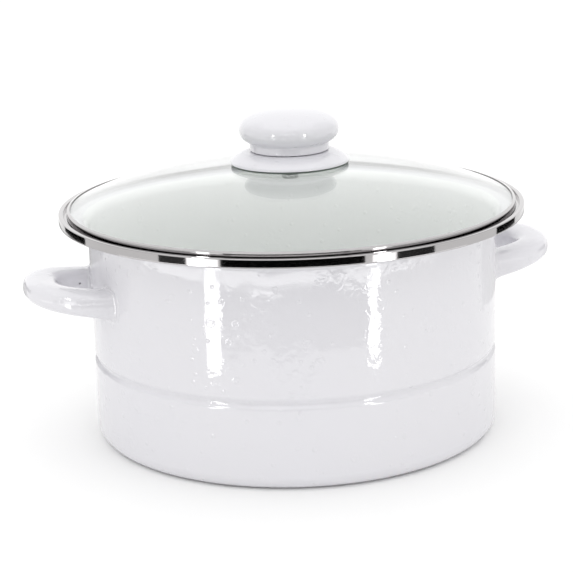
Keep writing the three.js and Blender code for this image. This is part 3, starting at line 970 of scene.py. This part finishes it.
class CANNER_OT_knob_fixings(bpy.types.Operator):
    """Makes what holds the knob: insert, seal, washer, lock washer and screw"""

    bl_idname = "canner.knob_fixings"
    bl_label = "Knob fixings"

    def execute(self, context):
        bore = sizes("knob").screw + BORE_PLAY
        boss, collar = 5 * MM, sizes("lid").hole - 0.3 * MM
        bm = self.flanged("knob_insert", bore, boss, 0.4 * MM, 3)
        piece(bm, "threaded_insert", fastener_finish(), "lid", ["knob_insert"])
        bm = self.flanged("glass_seal", bore, collar, 0.5 * MM, 4)
        piece(bm, "screw_seal", silicone_finish(), "lid", ["glass_seal"])
        self.washer(bore)
        self.lock_washer(bore)
        self.screw()
        return {"FINISHED"}

    def flanged(self, node, bore, neck, rounding, segments):
        """A bored plate with a narrower neck standing on it."""
        lowest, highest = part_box(node)
        plate = lowest.z + 1.6 * MM
        bm = bmesh.new()
        verts = outline(
            bm,
            [
                (bore, lowest.z),
                (highest.x, lowest.z),
                (highest.x, plate),
                (neck, plate),
                (neck, highest.z),
                (bore, highest.z),
            ],
            closed=True,
        )
        round_corners(bm, [verts[i] for i in (1, 2, 4)], rounding, segments)
        turn(bm, FIXING_STEPS)
        return bm

    def washer(self, bore):
        lowest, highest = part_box("knob_washer")
        bm = bmesh.new()
        verts = ring_outline(bm, bore, highest.x, lowest.z, highest.z)
        round_corners(bm, verts[1:3], 0.3 * MM, 3)
        turn(bm, FIXING_STEPS)
        piece(bm, "plain_washer", fastener_finish(), "lid", ["knob_washer"])

    def lock_washer(self, bore):
        """A square wire turned almost once around, with its two ends sprung apart."""
        lowest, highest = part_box("knob_lock_washer")
        spring = 0.25 * MM
        gap = math.radians(14)
        bm = bmesh.new()
        verts = ring_outline(bm, bore, highest.x, lowest.z, highest.z - spring)
        face = bm.faces.new(verts)
        swing(bm, gap / 2)
        spin(bm, [face], FULL_TURN - gap, SCREW_STEPS, rise=spring / SCREW_STEPS)
        settle(bm)
        piece(bm, "lock_washer", fastener_finish(), "lid", ["knob_lock_washer"])

    def screw(self):
        knob = sizes("knob")
        lowest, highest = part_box("knob_screw")
        head_top = lowest.z + 2.2 * MM
        core = knob.screw - knob.thread_pitch * 0.35
        head = [(0, lowest.z), (highest.x, lowest.z), (highest.x, head_top)]
        shank = [(core, head_top), (core, highest.z), (0, highest.z)]
        bm = bmesh.new()
        verts = outline(bm, head + shank)
        round_corners(bm, [verts[1]], 1.2 * MM, 5)
        round_corners(bm, [verts[2]], 0.3 * MM, 2)
        round_corners(bm, [verts[4]], 0.5 * MM, 1)
        turn(bm, SCREW_STEPS)
        self.slot(bm, lowest.z, knob)
        self.thread(bm, core, head_top, highest.z, knob)
        piece(bm, "slotted_screw", fastener_finish(), "lid", ["knob_screw"])

    def slot(self, bm, bottom, knob):
        """Cuts the slot: the strip between two planes is pushed up into the head."""
        floor = bottom + knob.slot_depth
        half = knob.slot_width / 2
        cuts = ((Y_AXIS * half, Y_AXIS), (-Y_AXIS * half, Y_AXIS), (Z_AXIS * floor, Z_AXIS))
        for point, normal in cuts:
            everything = bm.verts[:] + bm.edges[:] + bm.faces[:]
            bmesh.ops.bisect_plane(bm, geom=everything, plane_co=point, plane_no=normal, dist=MERGE)
        strip = []
        for face in bm.faces:
            middle = face.calc_center_median()
            if middle.z < floor and abs(middle.y) < half:
                strip.append(face)
        pushed = bmesh.ops.extrude_face_region(bm, geom=strip)
        for vert in (g for g in pushed["geom"] if isinstance(g, bmesh.types.BMVert)):
            vert.co.z = floor
        bmesh.ops.delete(bm, geom=strip, context="FACES_ONLY")
        bmesh.ops.remove_doubles(bm, verts=bm.verts[:], dist=MERGE)

    def thread(self, bm, core, bottom, top, knob):
        """Winds a ridge around the shank."""
        pitch, root = knob.thread_pitch, core - 0.1 * MM
        section = [
            (root, bottom),
            (knob.screw, bottom + pitch * 0.42),
            (knob.screw, bottom + pitch * 0.5),
            (root, bottom + pitch * 0.92),
        ]
        verts = outline(bm, section, closed=True)
        face = bm.faces.new(verts)
        turns = int((top - bottom) / pitch) - 2
        steps = 20
        spin(bm, [face], FULL_TURN * turns, steps * turns, rise=pitch / steps)
        settle(bm)


# ---- Rack -------------------------------------------------------------------------------------


def weld(bm, at, size):
    """A flattened bead between two wires."""
    shape = Matrix.Translation(at) @ Matrix.Diagonal((1.15, 0.9, 0.62, 1))
    bmesh.ops.create_uvsphere(bm, u_segments=12, v_segments=8, radius=size, matrix=shape)


class CANNER_OT_rack_rings(bpy.types.Operator):
    """Spins the rack's two rings"""

    bl_idname = "canner.rack_rings"
    bl_label = "Rack rings"

    def execute(self, context):
        rack = sizes("rack")
        for which in ("outer", "inner"):
            node = f"rack_{which}_ring"
            lowest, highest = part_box(node)
            middle = Vector((highest.x - rack.ring_wire, 0, (lowest.z + highest.z) / 2))
            bm = bmesh.new()
            upright = Matrix.Translation(middle) @ Matrix.Rotation(math.pi / 2, 4, "X")
            bmesh.ops.create_circle(
                bm, cap_ends=False, segments=16, radius=rack.ring_wire, matrix=upright
            )
            turn(bm, RING_STEPS)
            piece(bm, f"{which}_ring", wire_finish(), "rack", [node])
        return {"FINISHED"}


class CANNER_OT_rack_wires(bpy.types.Operator):
    """Draws the cross wires and the two hinge bars, each welded to the rings"""

    bl_idname = "canner.rack_wires"
    bl_label = "Rack wires"

    def execute(self, context):
        names = [f"rack_wire_{number}" for number in range(1, 8)]
        for node in names + ["rack_hinge_bar_left", "rack_hinge_bar_right"]:
            self.cross_wire(node)
        return {"FINISHED"}

    def cross_wire(self, node):
        rack = sizes("rack")
        lowest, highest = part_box(node)
        middle = (lowest + highest) / 2
        bm = bmesh.new()
        wire = Wire(bm, (middle.x, lowest.y, middle.z), Y_AXIS, rack.cross_wire)
        wire.run(highest.y - lowest.y).close()
        settle(bm)
        for ring in ("rack_outer_ring", "rack_inner_ring"):
            radius = high(ring).x - rack.ring_wire
            if abs(middle.x) < radius - rack.ring_wire:
                across = math.sqrt(radius**2 - middle.x**2)
                for y in (across, -across):
                    weld(bm, (middle.x, y, lowest.z), rack.weld)
        settle(bm)
        piece(bm, node.replace("rack_", "") + "_drawn", wire_finish(), "rack", [node])


class CANNER_OT_rack_feet(bpy.types.Operator):
    """Bends the four U-shaped feet"""

    bl_idname = "canner.rack_feet"
    bl_label = "Rack feet"

    def execute(self, context):
        rack = sizes("rack")
        ring = high("rack_outer_ring").x - rack.ring_wire
        half = 10 * MM
        for number in range(1, 5):
            node = f"rack_foot_{number}"
            lowest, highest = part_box(node)
            bottom = lowest.z + rack.foot_wire
            reach = math.sqrt(ring**2 - half**2)
            bm = bmesh.new()
            wire = Wire(bm, (reach, -half, highest.z), -Z_AXIS, rack.foot_wire)
            drop = highest.z - bottom - rack.foot_bend
            wire.run(drop).bend(rack.foot_bend, math.pi / 2, X_AXIS, 6)
            wire.run(2 * (half - rack.foot_bend)).bend(rack.foot_bend, math.pi / 2, X_AXIS, 6)
            wire.run(drop).close()
            settle(bm)
            for y in (half, -half):
                weld(bm, (reach, y, highest.z), rack.weld)
            settle(bm)
            swing(bm, FULL_TURN * (number - 0.5) / 4)
            piece(bm, f"foot_{number}", wire_finish(), "rack", [node])
        return {"FINISHED"}


class CANNER_OT_bails(bpy.types.Operator):
    """Bends the two lift bails, whose ends curl around the hinge bars"""

    bl_idname = "canner.bails"
    bl_label = "Bails"

    def execute(self, context):
        rack = sizes("rack")
        lowest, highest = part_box("bail_right")
        hinge = hinge_place("bail_right_fold")
        eye = rack.cross_wire + rack.bail_play + rack.bail_wire
        half = (highest.y - lowest.y) / 2 - rack.bail_wire
        span = hinge.x - lowest.x - rack.bail_wire
        begin = math.pi / 2 - rack.eye_turn
        start = hinge + Vector((eye * math.cos(begin), -half, eye * math.sin(begin)))
        for side, angle in (("right", 0), ("left", math.pi)):
            bm = bmesh.new()
            wire = Wire(bm, start, (-math.sin(begin), 0, math.cos(begin)), rack.bail_wire)
            wire.bend(eye, rack.eye_turn, -Y_AXIS, 28).run(span - rack.bail_bend)
            wire.bend(rack.bail_bend, math.pi / 2, -Z_AXIS, 10).run(2 * (half - rack.bail_bend))
            wire.bend(rack.bail_bend, math.pi / 2, -Z_AXIS, 10).run(span - rack.bail_bend)
            wire.bend(eye, rack.eye_turn, Y_AXIS, 28).close()
            settle(bm)
            swing(bm, angle)
            name = f"bail_{side}"
            piece(bm, f"{name}_wire", wire_finish(), name, [name])
        return {"FINISHED"}


# ---- Stage ------------------------------------------------------------------------------------

# Cards: name, radius in mm, two bearings in degrees, two heights in mm, and glow. The wall mirrors
# cards below 68 mm, the two bands those up to 112 mm, and the knob those above.
NEAR, BEHIND = 330, 332
CARDS = [
    ("strip_left", NEAR, -40.5, -33.5, 0, 67, 1.0),
    ("strip_left_band", NEAR, -40.5, -28, 69, 100, 3.0),
    ("strip_left_knob", NEAR, -38, -33, 124, 200, 1.6),
    ("strip_right", NEAR, 33, 39, 0, 67, 1.0),
    ("strip_right_knob", NEAR, 32, 37, 124, 200, 1.6),
    ("flag_front", NEAR, -27, 27, 69, 112, 0.0),
    ("dim_knob", NEAR, -27, 22, 112, 205, 0.5),
    ("edge_front", NEAR, -24, 20, 205, 214, 5.0),
    ("flag_left", NEAR, -53, -41, 69, 100, 0.05),
    ("flag_right", NEAR, 40, 57, 69, 100, 0.03),
    ("strip_right_band", NEAR, 30, 39.5, 69, 100, 2.5),
    ("flag_far_left", NEAR, -123, -98, 69, 100, 0.0),
    ("flag_far_right", NEAR, 96, 117, 69, 100, 0.0),
    ("fill", BEHIND, -75, 75, 61, 68, 3.0),
    ("dim_front", BEHIND, -34, 34, 14, 57, 0.2),
    ("dim_left", BEHIND, -165, -112, 2, 66, 0.5),
    ("dim_right", BEHIND, 112, 165, 2, 66, 0.75),
    ("backdrop", 1200, 130, 230, 0, 2200, 1.28),
]
# Cards whose glow is a share of the user's strip brightness.
STRIPS = {"strip_left", "strip_right", "strip_left_knob", "strip_right_knob"}


class CANNER_OT_stage(bpy.types.Operator):
    """Lays the floor, and sets up the light and the camera"""

    bl_idname = "canner.stage"
    bl_label = "Stage"

    def execute(self, context):
        self.floor()
        self.sky()
        self.cards()
        self.camera()
        context.scene.view_settings.view_transform = "Standard"
        return {"FINISHED"}

    def floor(self):
        finish = Finish("pale_floor")
        mottle = finish.noise(finish.place(), scale=3.0)
        pale = finish.blend(mottle, tint("floor"), tint("floor", 0.995))
        shader = finish.principled({"Base Color": pale, "Roughness": 0.85})
        bm = bmesh.new()
        bmesh.ops.create_circle(bm, cap_ends=True, segments=96, radius=12)
        bmesh.ops.translate(bm, verts=bm.verts[:], vec=(0, 0, -0.2 * MM))
        self.stage_piece(bm, "floor", finish.surface(shader))

    def stage_piece(self, bm, name, material):
        mesh = bpy.data.meshes.new(name)
        bm.to_mesh(mesh)
        bm.free()
        mesh.materials.append(material)
        obj = bpy.data.objects.new(name, mesh)
        bpy.context.scene.collection.objects.link(obj)
        return obj

    def sky(self):
        stage = sizes("stage")
        world = bpy.data.worlds.new("studio")
        world.use_nodes = True
        background = world.node_tree.nodes["Background"]
        background.inputs["Color"].default_value = (1, 1, 1, 1)
        background.inputs["Strength"].default_value = stage.sky
        bpy.context.scene.world = world
        lamp = bpy.data.lights.new("overhead", "SUN")
        lamp.energy = stage.overhead
        lamp.angle = math.radians(80)
        obj = bpy.data.objects.new("overhead", lamp)
        lean_back, lean_left = math.radians(8), math.radians(-4)
        obj.rotation_euler = (lean_back, lean_left, 0)
        bpy.context.scene.collection.objects.link(obj)

    def cards(self):
        """Upright cards around the pot that only mirrors and gloss can see."""
        strip = sizes("stage").strip
        for name, radius, start, end, bottom, top, glow in CARDS:
            share = strip if name in STRIPS else 1.0
            self.card(name, radius * MM, (start, end), (bottom * MM, top * MM), glow * share)

    def card(self, name, radius, bearings, heights, glow):
        """A curved card between two bearings in degrees, counted from the camera's side."""
        finish = Finish(name)
        shader = finish.make("ShaderNodeEmission", None, {"Color": (1, 1, 1, 1), "Strength": glow})
        start, end = [sizes("stage").bearing + math.radians(b) for b in bearings]
        bm = bmesh.new()
        x, y = radius * math.sin(start), -radius * math.cos(start)
        verts = [bm.verts.new((x, y, z)) for z in heights]
        edge = bm.edges.new(verts)
        spin(bm, verts + [edge], end - start, steps=8)
        obj = self.stage_piece(bm, name, finish.surface(shader))
        obj.visible_camera = False
        obj.visible_diffuse = False
        obj.visible_transmission = False
        obj.visible_shadow = False

    def camera(self):
        stage = sizes("stage")
        data = bpy.data.cameras.new("camera")
        data.sensor_width = 36
        data.lens = stage.focal
        data.clip_start, data.clip_end = 0.05, 60
        obj = bpy.data.objects.new("camera", data)
        around = Matrix.Rotation(stage.bearing, 4, "Z")
        down = Matrix.Rotation(math.pi / 2 - stage.pitch, 4, "X")
        heading = Matrix.Rotation(stage.bearing + stage.swing, 4, "Z")
        aim = heading @ down @ Matrix.Rotation(stage.roll, 4, "Z")
        place = around @ Vector((0, -stage.distance, stage.camera_height))
        obj.matrix_world = Matrix.Translation(place) @ aim
        bpy.context.scene.collection.objects.link(obj)
        bpy.context.scene.camera = obj


# ---- Add-on -----------------------------------------------------------------------------------

GROUPS = {
    "pot": PotSizes,
    "band": BandSizes,
    "handle": HandleSizes,
    "lid": LidSizes,
    "knob": KnobSizes,
    "rack": RackSizes,
    "finishes": Finishes,
    "stage": StageSettings,
}
OPERATORS = [
    CANNER_OT_pot_shell,
    CANNER_OT_rim_bands,
    CANNER_OT_handles,
    CANNER_OT_lid_glass,
    CANNER_OT_knob,
    CANNER_OT_knob_fixings,
    CANNER_OT_rack_rings,
    CANNER_OT_rack_wires,
    CANNER_OT_rack_feet,
    CANNER_OT_bails,
    CANNER_OT_stage,
]


class CANNER_PT_panel(bpy.types.Panel):
    """Lists the sizes, the finishes and the operators"""

    bl_idname = "CANNER_PT_panel"
    bl_label = "Water bath canner"
    bl_space_type = "VIEW_3D"
    bl_region_type = "UI"
    bl_category = "Canner"

    def draw(self, context):
        for name, group in GROUPS.items():
            box = self.layout.box()
            box.label(text=name.capitalize())
            for prop in group.__annotations__:
                box.prop(sizes(name), prop)
        for operator in OPERATORS:
            self.layout.operator(operator.bl_idname)


def register():
    for cls in [*GROUPS.values(), *OPERATORS, CANNER_PT_panel]:
        bpy.utils.register_class(cls)
    for name, group in GROUPS.items():
        setattr(bpy.types.Scene, "canner_" + name, PointerProperty(type=group))


def unregister():
    for name in GROUPS:
        delattr(bpy.types.Scene, "canner_" + name)
    for cls in reversed([*GROUPS.values(), *OPERATORS, CANNER_PT_panel]):
        bpy.utils.unregister_class(cls)


def main():
    register()
    for operator in OPERATORS:
        category, name = operator.bl_idname.split(".")
        getattr(getattr(bpy.ops, category), name)()


if __name__ == "__main__":
    main()
